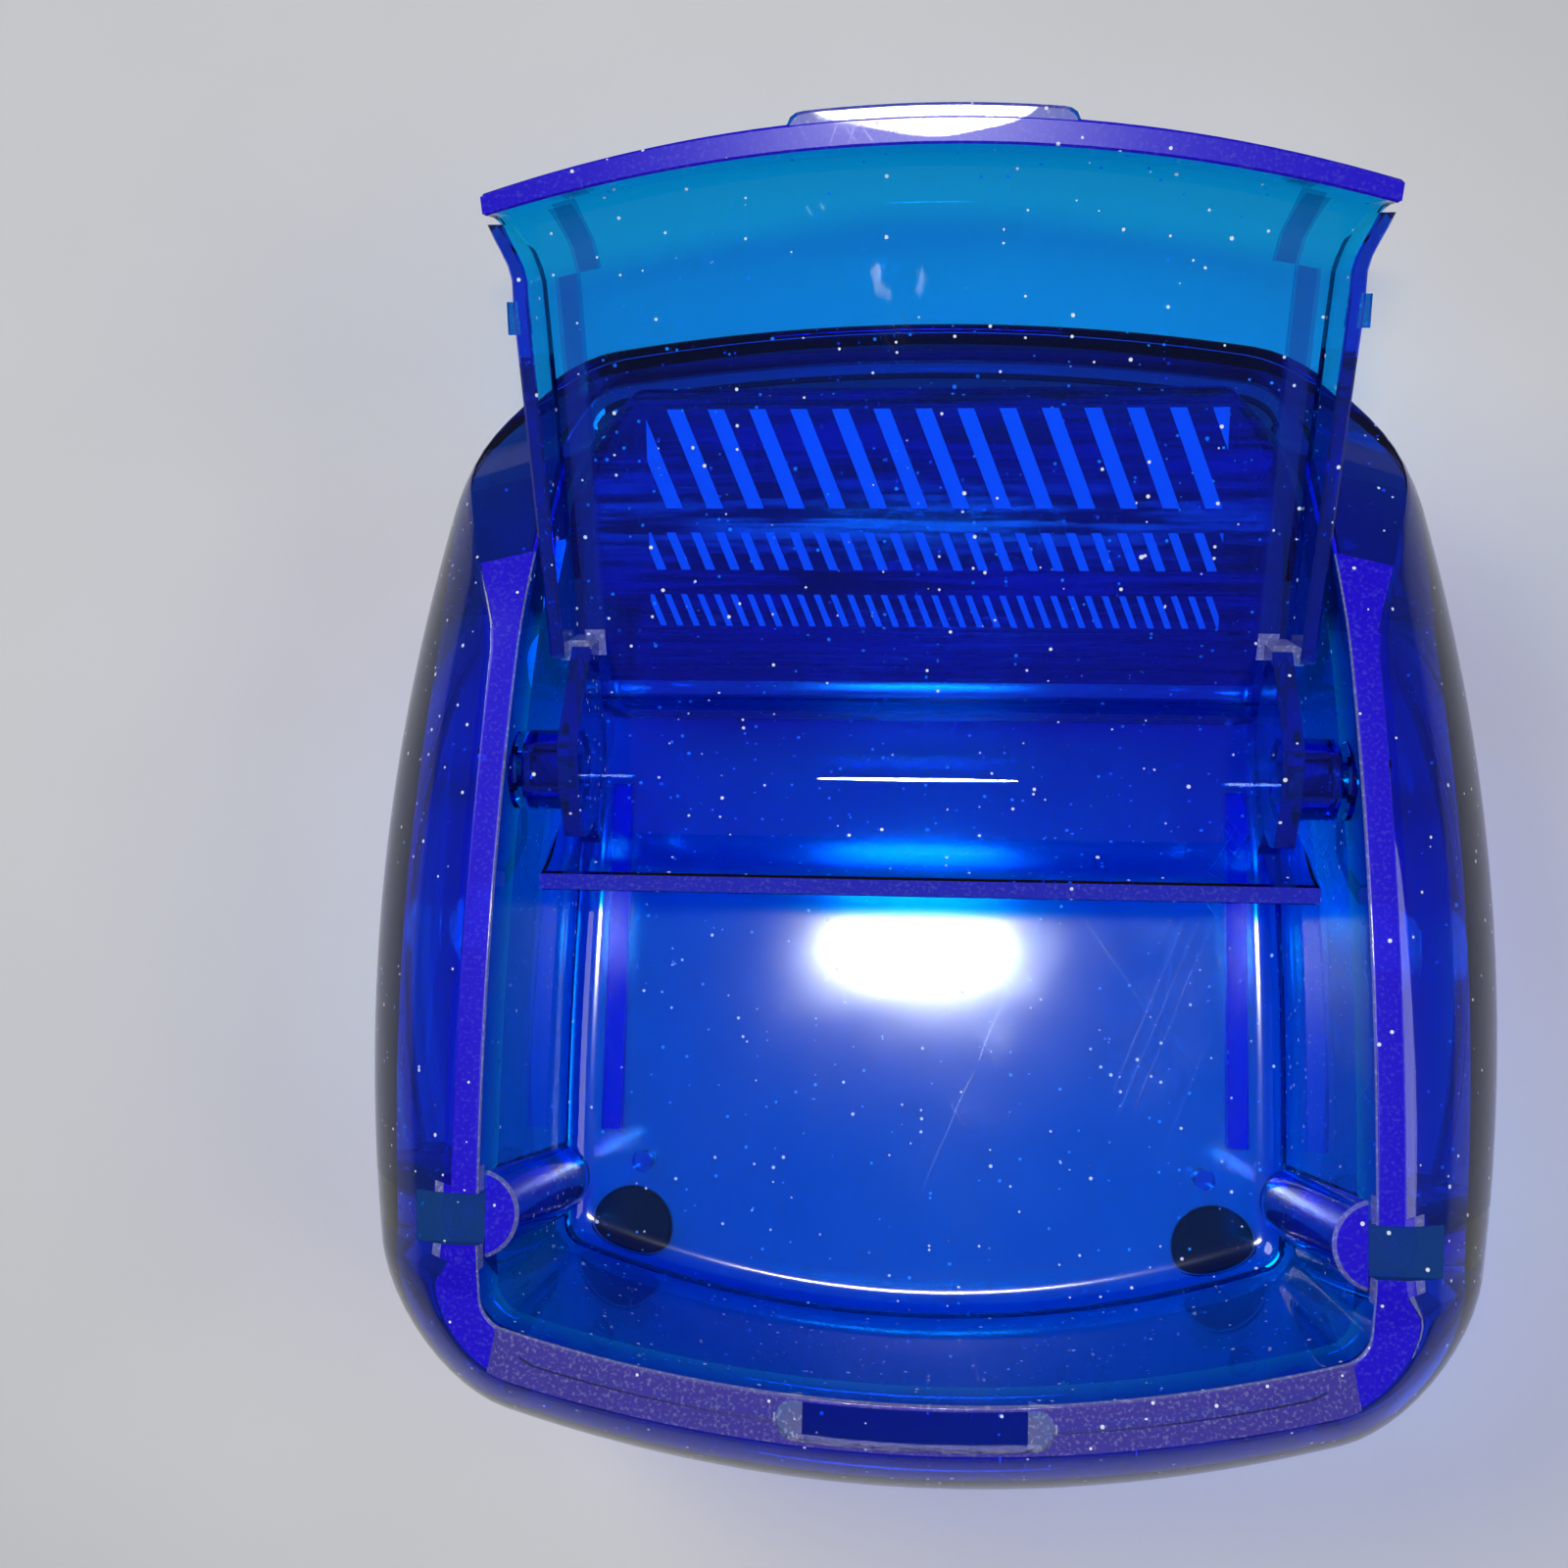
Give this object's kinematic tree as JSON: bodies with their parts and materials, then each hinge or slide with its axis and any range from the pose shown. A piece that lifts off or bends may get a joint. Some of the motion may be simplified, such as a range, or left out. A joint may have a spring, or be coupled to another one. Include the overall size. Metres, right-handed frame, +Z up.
{
  "type": "flip-lid desk box",
  "caption": "Small rounded desk box in clear blue plastic: an open-topped tray with a hinged lid that rolls right back over a hump at the rear.",
  "frame": {"origin": "centre of the base of the bounding box, on the surface the box stands on, with the lid open", "axes": "+Z up, the front with the finger recess faces -Y, +X is the box's right-hand side seen from the front"},
  "size_m": [0.128, 0.1442, 0.0661],
  "materials": {
    "base_blue": "clear tinted, polished",
    "shell_blue": "clear tinted, polished",
    "saddle_blue": "clear tinted, fine tool lines along its length",
    "lid_blue": "clear tinted, polished",
    "pin_blue": "clear tinted, satin",
    "foot_rubber": "matt black"
  },
  "bodies": {
    "box": {"base_bowl": "base_blue", "tray_shell": "shell_blue", "rear_saddle": "saddle_blue", "hinge_pin_left": "pin_blue", "hinge_pin_right": "pin_blue", "foot_front_left": "foot_rubber", "foot_front_right": "foot_rubber", "foot_rear_left": "foot_rubber", "foot_rear_right": "foot_rubber"},
    "flip_lid": {"lid": "lid_blue"}
  },
  "joints": [
    {"name": "lid_hinge", "type": "hinge", "parent": "box", "child": "flip_lid", "pos_m": [0, 0.0055, 0.044], "axis": [1, 0, 0], "range_deg": [0, 157]}
  ]
}
